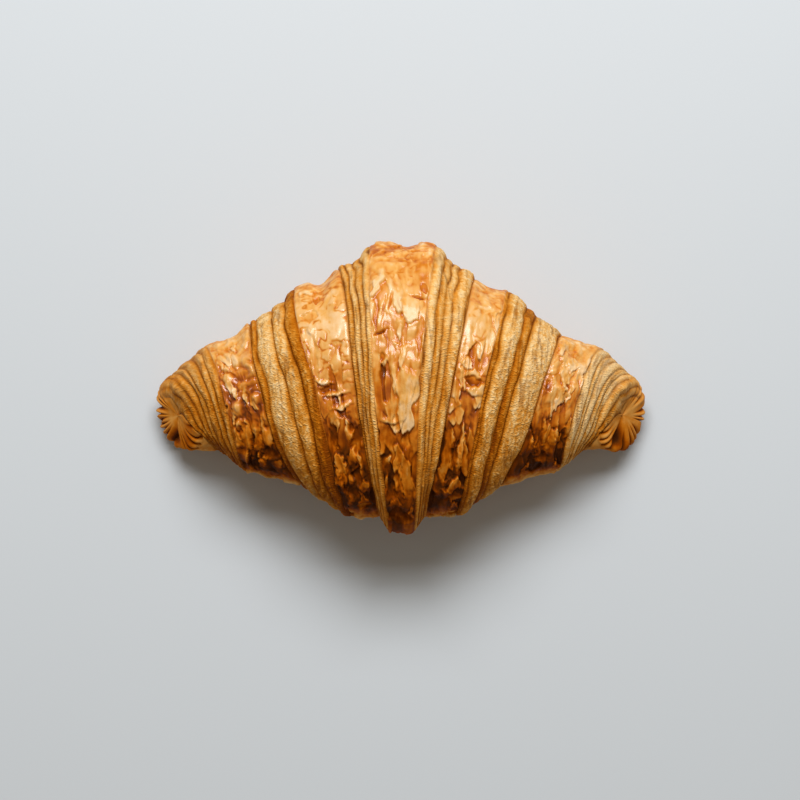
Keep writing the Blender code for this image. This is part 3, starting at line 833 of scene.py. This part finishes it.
def crustSurface(place, angle):
    # the form, moved along its normal by cut layers, torn sheets, folds, blisters, flakes and pleats
    radius = smoothBetween(np.abs(place), dough["stations"], dough["skinRadius"])
    turned = np.radians(angle)
    spot = np.stack([place, radius * np.sin(turned), radius * np.cos(turned)], axis=-1)
    seen = 1.0 - ease(np.abs(angle), *overall["hidden"])  # 0 under the base
    side = bySide(place, 0.0, 1.0)

    band = cutBands(place, angle, radius, spot, seen)
    cut = band["cut"]
    look = skinLook(place, angle, band["turn"])
    toFront = np.stack([np.zeros_like(turned), np.cos(turned), -np.sin(turned)], axis=-1)
    level, bake, wash, strand, jag = skinSheets(spot, spot - sheets["tornWidth"] * toFront, look)
    layMarks(place, angle, radius, spot, level, bake, wash, strand, jag)
    skin = (1.0 - cut) * seen * (band["turn"] < dough["turns"])
    pleatLift, pleatShade = endPleats(place, angle, side, cut)
    endLift, endBakeAndShade = endLumps(place, angle)

    smooth = (band["turn"] == 1) * crease(angle - overall["smoothAngle"], overall["smoothReach"])
    sweep = overall["sweep"] * grain(spot, "sweep") + overall["dent"] * grain(spot, "dent")
    sweep = sweep * (1.0 - overall["smoothShare"] * smooth)
    lift = band["lift"] + band["groove"] + skin * level + pleatLift + endLift
    lift = lift + seen * sweep * (1.0 - (1.0 - overall["sweepOnCut"]) * cut)
    points = formPoint(place, angle) + formNormal(place, angle) * lift[..., None]
    points[..., 2] = np.maximum(points[..., 2], 0.0)

    usual, vary = overall["baseBake"]
    baseBake = usual + vary * grain(spot, "baseBake") + overall["paintedPleatShade"] * pleatShade + endBakeAndShade
    patches = overall["patchBake"] * (grain(spot, "patch") + grain(spot, "fleck"))
    patches = patches * (1.0 + ease(-angle, *overall["backPatches"]))
    lip = (band["turn"] >= 1) * ease(angle, *overall["lipFrom"]) * (1.0 - ease(angle, *overall["lipTo"]))
    bake = bake + overall["smoothBake"] * smooth + patches + overall["lipBake"] * lip
    bake = bake * skin + baseBake * (1.0 - skin)
    bandBake = layers["bake"] + layers["skinShare"] * look["bake"] + band["tone"]
    bake = bake + (bandBake - bake) * cut
    onBack = overall["shineOnBack"]
    shine = onBack + (1.0 - onBack) * ease(angle, *overall["shineBack"])
    shine = shine * (1.0 - overall["shineLoss"] * ease(angle, *overall["shineFront"]))
    # the crease attribute holds painted shade: creases, crevices, grooves and pleat gaps
    dark = np.maximum(band["crease"], 0.5 * pleatShade)
    looks = {"bake": bake, "wash": skin * wash * shine, "cut": cut, "crease": dark}
    looks = {key: np.clip(value, 0.0, 1.0) for key, value in looks.items()}
    # the skin laid out flat, each side of the middle in a part of the pattern of its own
    looks["unrolled"] = np.stack([place, turned * radius, 20.0 * side], axis=-1)
    return points, looks


# How the wraps' points are spread
grid = {
    "seenTo": 112.0,  # degrees from the top over which most rows are packed
    "topShare": 0.76,  # the share of them
    "closeFrom": 120.0,  # from here the two ends of a spiral line join under the base
    "tipShare": 0.9995,  # the last column stops just short of the tip
    "poleDepth": 6,  # a wrap closes to the middle of the column that lies so many inside its edge
    "quickShare": 3,
    "mapMargin": 0.02,
}


def closedLine(place, angle, turn, edge):
    # follows a spiral line over the top and joins its own ends under the base
    under = grid["closeFrom"]
    seen = spiralLine(place, 360.0 * turn - np.clip(angle, -under, under), edge)
    front = spiralLine(place, np.full_like(angle, 360.0 * turn - under), edge)
    back = spiralLine(place, np.full_like(angle, 360.0 * turn + under), edge)
    past = np.where(angle > 0.0, angle - under, angle + 360.0 - under)
    across = front + (back - front) * ease(past / (360.0 - 2.0 * under))
    return np.where(np.abs(angle) <= under, seen, across)


def rowAngles(rows):
    # rows are packed over the top and spread under the base, by a share of them for each
    top = int(rows * grid["topShare"])
    seenTo = grid["seenTo"]
    over = np.linspace(-seenTo, seenTo, top, endpoint=False)
    under = np.linspace(seenTo, 360.0 - seenTo, rows - top, endpoint=False)
    return (np.concatenate([over, under]) + 180.0) % 360.0 - 180.0


def gridPlaces(knots, counts):
    # columns spread evenly between the knot lines, which bend with the angle
    places = []
    for first, last, count in zip(knots[:-1], knots[1:], counts):
        share = np.arange(count)[:, None] / count
        places.append(first[None, :] * (1.0 - share) + last[None, :] * share)
    places.append(knots[-1][None, :])
    return np.concatenate(places)


def gridMesh(name, points, looks, poles):
    # quads between neighbouring columns and rows, and a fan to one point at each end
    columns, rows = points.shape[:2]
    index = np.arange(columns * rows).reshape(columns, rows)
    ahead = np.roll(index, -1, axis=1)
    quads = np.stack([index[:-1], ahead[:-1], ahead[1:], index[1:]], axis=-1).reshape(-1, 4)
    firstPole = np.full(rows, columns * rows)
    firstFan = np.stack([ahead[0], index[0], firstPole], axis=-1)
    lastFan = np.stack([index[-1], ahead[-1], firstPole + 1], axis=-1)
    fans = np.concatenate([firstFan, lastFan])
    flat = np.concatenate([points.reshape(-1, 3), np.array(poles)]) * mm
    corners = np.concatenate([quads.ravel(), fans.ravel()])
    starts = np.concatenate([np.arange(len(quads)) * 4, len(quads) * 4 + np.arange(len(fans)) * 3])
    mesh = bpy.data.meshes.new(name)
    mesh.vertices.add(len(flat))
    mesh.vertices.foreach_set("co", flat.ravel())
    mesh.loops.add(len(corners))
    mesh.loops.foreach_set("vertex_index", corners)
    mesh.polygons.add(len(starts))
    mesh.polygons.foreach_set("loop_start", starts)
    mesh.update(calc_edges=True)
    mesh.polygons.foreach_set("use_smooth", np.ones(len(starts), bool))
    for key, values in looks.items():
        atPoles = np.stack([values[0].mean(axis=0), values[-1].mean(axis=0)])
        values = np.concatenate([values.reshape((-1,) + atPoles.shape[1:]), atPoles])
        kind, field = ("FLOAT_VECTOR", "vector") if values.ndim > 1 else ("FLOAT", "value")
        mesh.attributes.new(key, kind, "POINT").data.foreach_set(field, values.ravel())
    addBakeMap(mesh, quads, fans, columns, rows)
    return mesh


def addBakeMap(mesh, quads, fans, columns, rows):
    # columns run across the map and rows up it, and the end fans take a strip at either side
    margin = grid["mapMargin"]
    fanEdge = 0.75 * margin
    column, row = np.divmod(quads, rows)
    row = np.where((row == 0) & (row[:, :1] == rows - 1), rows, row)
    across = margin + (1.0 - 2.0 * margin) * column / (columns - 1)
    quadMap = np.stack([across, row / rows], axis=-1)
    fanRow = np.tile(np.arange(rows), 2)
    fanMap = np.empty((len(fans), 3, 2))
    fanMap[:, :, 1] = np.stack([fanRow, fanRow + 1, fanRow + 0.5], axis=1) / rows
    first = np.arange(len(fans)) < rows
    fanMap[:, :2, 0] = np.where(first, fanEdge, 1.0 - fanEdge)[:, None]
    fanMap[:, 2, 0] = np.where(first, 0.0, 1.0)
    layer = mesh.uv_layers.new(name="OFBake")
    layer.uv.foreach_set("vector", np.concatenate([quadMap.ravel(), fanMap.ravel()]))


def facesOut(mesh):
    # the sum of signed tetrahedra is negative when the faces point inwards
    mesh.calc_loop_triangles()
    points = np.empty(len(mesh.vertices) * 3)
    mesh.vertices.foreach_get("co", points)
    faces = np.empty(len(mesh.loop_triangles) * 3, int)
    mesh.loop_triangles.foreach_get("vertices", faces)
    a, b, c = points.reshape(-1, 3)[faces.reshape(-1, 3)].transpose(1, 0, 2)
    if np.einsum("ij,ij->i", a, np.cross(b, c)).sum() < 0.0:
        mesh.flip_normals()


def addPiece(mesh, material):
    # puts a finished mesh in the scene as a piece of the croissant
    facesOut(mesh)
    mesh.materials.append(material)
    obj = bpy.data.objects.new(mesh.name, mesh)
    bpy.context.scene.collection.objects.link(obj)
    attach(obj, "root")
    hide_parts("croissant")
    print("made", mesh.name, len(mesh.loop_triangles), "triangles")


# Each wrap reaches from line to line, a line given by side, turn and edge or, at a tip, by its place.
# Columns are counted from line to line, and rows go round the roll.
wraps = {
    "wrapCentre": {
        "lines": ((-1, 0, "outer"), (-1, 0, "inner"), (1, 0, "inner"), (1, 0, "outer")),
        "columns": (36, 78, 36),
        "rows": 600,
    },
    "wrapSecondLeft": {
        "lines": ((-1, 1, "outer"), (-1, 1, "inner"), (-1, 0, "outer")),
        "columns": (76, 60),
        "rows": 660,
    },
    "wrapSecondRight": {
        "lines": ((1, 0, "outer"), (1, 1, "inner"), (1, 1, "outer")),
        "columns": (60, 76),
        "rows": 660,
    },
    "wrapThirdLeft": {
        "lines": (-80.0, (-1, 2, "outer"), (-1, 2, "inner"), (-1, 1, "outer")),
        "columns": (48, 64, 62),
        "rows": 520,
    },
    "wrapThirdRight": {
        "lines": ((1, 1, "outer"), (1, 2, "inner"), (1, 2, "outer"), 80.0),
        "columns": (62, 64, 48),
        "rows": 520,
    },
}


def wrapPiece(name, material):
    # the crust's surface over a grid of places and angles, closed to a point at each end
    wrap = wraps[name]
    thin = 1
    angle = rowAngles(wrap["rows"] // thin)
    knots = []
    for line in wrap["lines"]:
        if isinstance(line, float):
            knots.append(np.full_like(angle, line * grid["tipShare"]))
            continue
        side, turn, edge = line
        knots.append(side * closedLine(np.full_like(angle, side), angle, turn, edge))
    place = gridPlaces(knots, [count // thin for count in wrap["columns"]])
    points, looks = crustSurface(place, np.broadcast_to(angle, place.shape))
    poles = []
    for end, inward in ((0, grid["poleDepth"]), (-1, -1 - grid["poleDepth"])):
        atTip = abs(place[end, 0]) > dough["half"] - 1.0
        poles.append(points[end if atTip else inward].mean(axis=0))
    addPiece(gridMesh(name, points, looks, poles), material)


def linear(code):
    # sRGB hex to linear red, green, blue, alpha
    channels = [int(code[i : i + 2], 16) / 255.0 for i in (0, 2, 4)]
    return [c / 12.92 if c <= 0.04045 else ((c + 0.055) / 1.055) ** 2.4 for c in channels] + [1.0]


def addNode(tree, kind, links=None, inputs=None, **settings):
    # one node: what feeds its sockets, its other sockets' values, and its own settings
    node = tree.nodes.new(kind)
    for key, value in settings.items():
        setattr(node, key, value)
    for key, value in (inputs or {}).items():
        node.inputs[key].default_value = value
    for key, source in (links or {}).items():
        tree.links.new(source, node.inputs[key])
    return node


def setRamp(node, stops):
    # one stop for each position and colour
    elements = node.color_ramp.elements
    while len(elements) < len(stops):
        elements.new(0.5)
    for element, (position, code) in zip(elements, stops):
        element.position = position
        element.color = linear(code)


# Colours run from pale to dark with the bake. Sizes are in millimetres, weights in shares of the bake.
crustLook = {
    "skinStops": (
        (0.0, "E4BC88"), (0.2, "DA9F50"), (0.4, "C8761A"), (0.56, "AC5604"),
        (0.72, "803800"), (0.88, "602D05"), (1.0, "451F05"),
    ),
    "cutStops": ((0.0, "F4CE92"), (0.25, "E8B062"), (0.5, "D68A2C"), (0.75, "BA680C"), (1.0, "8A4203")),
    "creaseShadeColour": "743604",
    "mottleSize": 2.381,
    "mottleWeights": (0.22, 0.02),  # on the skin, and what a cut layer adds
    "fibreSize": (0.9, 9.0, 1.0),  # strands that follow the roll round
    "fibreWeights": (0.12, 0.22),
    "wrinkleSize": (0.7, 2.8, 1.0),  # on the cut layers, in two sets that cross
    "wrinkleTurns": (70.0, -62.0),
    # painted light and shade that follows the wrinkles' bump
    "wrinkleWeight": -0.7,
    "wrinkleDepth": 0.9,
    "cutWeight": 0.12,
    "poreSize": 0.6667,
    "poreDepth": 0.2,
    "poreStrength": 0.35,
    "glaze": 0.88,
}

# What is the same all over: dull baked flour and butter under a film of egg
crustFinish = {
    "Roughness": 0.6,
    "IOR": 1.35,
    "Specular IOR Level": 0.04,
    "Coat Roughness": 0.24,
    "Coat IOR": 1.55,
}


def drawnNoise(tree, spot, degrees, size):
    # noise on the unrolled surface, its grain of this size in millimetres turned by an angle
    placed = addNode(
        tree, "ShaderNodeMapping", {"Vector": spot}, vector_type="TEXTURE",
        inputs={"Rotation": (0.0, 0.0, math.radians(degrees)), "Scale": size},
    )
    noise = addNode(
        tree, "ShaderNodeTexNoise", {"Vector": placed.outputs[0]}, inputs={"Scale": 1.0, "Detail": 3.0}
    )
    return noise.outputs["Fac"]


def ridgeNoise(tree, spot, degrees, size):
    # the noise's distance from its middle: long swellings between sharp valleys
    noise = drawnNoise(tree, spot, degrees, size)
    shifted = addNode(tree, "ShaderNodeMath", {0: noise}, operation="SUBTRACT", inputs={1: 0.5})
    return addNode(tree, "ShaderNodeMath", {0: shifted.outputs[0]}, operation="ABSOLUTE").outputs[0]


def crustTone(tree, values, crumpled, weighted):
    # the bake, plus each noise less its middle times its weight, less the wrinkles, plus a share of the cut
    tone = values["bake"]
    for noise, (onSkin, more) in weighted:
        weight = addNode(
            tree, "ShaderNodeMath", {0: values["cut"]}, operation="MULTIPLY_ADD", inputs={1: more, 2: onSkin}
        )
        shifted = addNode(tree, "ShaderNodeMath", {0: noise}, operation="SUBTRACT", inputs={1: 0.5})
        links = {0: shifted.outputs[0], 1: weight.outputs[0], 2: tone}
        tone = addNode(tree, "ShaderNodeMath", links, operation="MULTIPLY_ADD").outputs[0]
    # the wrinkles' ridges come out paler and their valleys darker: painted light and shade
    flat = ((crumpled, crustLook["wrinkleWeight"]), (values["cut"], crustLook["cutWeight"]))
    for source, weight in flat:
        tone = addNode(
            tree, "ShaderNodeMath", {0: source, 2: tone}, operation="MULTIPLY_ADD", inputs={1: weight}
        ).outputs[0]
    return tone


def crustMaterial():
    # Baked laminated dough, brushed with egg: glossy amber skin, matt pale cut layers, creases darkened with
    # painted shade
    material = bpy.data.materials.new("EggWashedCrust")
    material.use_nodes = True
    tree = material.node_tree
    shader = tree.nodes["Principled BSDF"]
    coords = addNode(tree, "ShaderNodeTexCoord").outputs["Object"]
    unrolled = addNode(tree, "ShaderNodeAttribute", attribute_name="unrolled").outputs["Vector"]
    values = {}
    for key in ("bake", "wash", "cut", "crease"):
        values[key] = addNode(tree, "ShaderNodeAttribute", attribute_name=key).outputs["Fac"]
    mottle = addNode(
        tree, "ShaderNodeTexNoise", {"Vector": coords},
        inputs={"Scale": 1.0 / (crustLook["mottleSize"] * mm), "Detail": 4.0},
    )
    pores = addNode(
        tree, "ShaderNodeTexNoise", {"Vector": coords},
        inputs={"Scale": 1.0 / (crustLook["poreSize"] * mm), "Detail": 3.0},
    )
    fibre = drawnNoise(tree, unrolled, 0.0, crustLook["fibreSize"])
    size = crustLook["wrinkleSize"]
    one, other = (ridgeNoise(tree, unrolled, turn, size) for turn in crustLook["wrinkleTurns"])
    wrinkle = addNode(tree, "ShaderNodeMath", {0: one, 1: other}, operation="ADD")
    crumpled = addNode(
        tree, "ShaderNodeMath", {0: wrinkle.outputs[0], 1: values["cut"]}, operation="MULTIPLY"
    ).outputs[0]
    weighted = ((mottle.outputs["Fac"], crustLook["mottleWeights"]), (fibre, crustLook["fibreWeights"]))
    tone = crustTone(tree, values, crumpled, weighted)

    skin = addNode(tree, "ShaderNodeValToRGB", {"Fac": tone})
    setRamp(skin, crustLook["skinStops"])
    cutEdge = addNode(tree, "ShaderNodeValToRGB", {"Fac": tone})
    setRamp(cutEdge, crustLook["cutStops"])
    links = {"Factor": values["cut"], 6: skin.outputs["Color"], 7: cutEdge.outputs["Color"]}
    baked = addNode(tree, "ShaderNodeMix", links, data_type="RGBA")
    # a dark colour mixed in by the crease attribute: painted shade
    creased = addNode(
        tree, "ShaderNodeMix", {"Factor": values["crease"], 6: baked.outputs[2]}, data_type="RGBA",
        inputs={7: linear(crustLook["creaseShadeColour"])},
    )
    tree.links.new(creased.outputs[2], shader.inputs["Base Color"])
    glaze = addNode(
        tree, "ShaderNodeMath", {0: values["wash"]}, operation="MULTIPLY", inputs={1: crustLook["glaze"]}
    )
    tree.links.new(glaze.outputs[0], shader.inputs["Coat Weight"])
    wrinkled = addNode(
        tree, "ShaderNodeBump", {"Height": crumpled},
        inputs={"Strength": 1.0, "Distance": crustLook["wrinkleDepth"] * mm},
    )
    bump = addNode(
        tree, "ShaderNodeBump", {"Height": pores.outputs["Fac"], "Normal": wrinkled.outputs[0]},
        inputs={"Strength": crustLook["poreStrength"], "Distance": crustLook["poreDepth"] * mm},
    )
    tree.links.new(bump.outputs[0], shader.inputs["Normal"])
    for key, value in crustFinish.items():
        shader.inputs[key].default_value = value
    return material


crust = crustMaterial()
for wrapName in wraps:
    wrapPiece(wrapName, crust)

# The board, the room's air and the window, in metres, degrees and watts
room = {
    "boardSize": 6.0,
    "boardColour": "C9CDCE",
    "boardRoughness": 0.85,
    "airColour": "F4EBDC",
    "airStrength": 0.25,
    "windowColour": "F8FAFF",
    "windowSize": (0.8, 0.46),
    "windowPlace": (0.015, 0.67, 0.87),
    "windowTilt": -37.6,
    "windowPower": 15.4,
}


def makeStage():
    # a matt painted board, and light from one large window behind the croissant
    bpy.ops.mesh.primitive_plane_add(size=room["boardSize"], location=(0.0, 0.0, 0.0))
    floor = bpy.context.object
    floor.name = "paleBoard"
    material = bpy.data.materials.new("PaintedBoard")
    material.use_nodes = True
    shader = material.node_tree.nodes["Principled BSDF"]
    shader.inputs["Base Color"].default_value = linear(room["boardColour"])
    shader.inputs["Roughness"].default_value = room["boardRoughness"]
    floor.data.materials.append(material)
    world = bpy.data.worlds.new("softRoom")
    bpy.context.scene.world = world
    world.use_nodes = True
    background = world.node_tree.nodes["Background"]
    background.inputs["Color"].default_value = linear(room["airColour"])
    background.inputs["Strength"].default_value = room["airStrength"]
    window = bpy.data.lights.new("window", "AREA")
    window.shape = "RECTANGLE"
    window.size, window.size_y = room["windowSize"]
    window.energy = room["windowPower"]
    window.color = linear(room["windowColour"])[:3]
    lamp = bpy.data.objects.new("window", window)
    bpy.context.scene.collection.objects.link(lamp)
    lamp.location = room["windowPlace"]
    lamp.rotation_euler = (math.radians(room["windowTilt"]), 0.0, 0.0)


# Straight above the croissant, in metres, with a long lens in millimetres
overhead = {"lens": 115.3, "sensor": 36.0, "place": (-0.0003, -0.004, 0.85), "nearest": 0.05}


def makeCamera():
    # an unturned camera looks straight down
    camera = bpy.data.cameras.new("overhead")
    camera.lens = overhead["lens"]
    camera.sensor_width = overhead["sensor"]
    camera.clip_start = overhead["nearest"]
    obj = bpy.data.objects.new("overhead", camera)
    bpy.context.scene.collection.objects.link(obj)
    obj.location = overhead["place"]
    bpy.context.scene.camera = obj


makeStage()
makeCamera()
bpy.context.scene.view_settings.view_transform = "Standard"
print("stage and camera set")
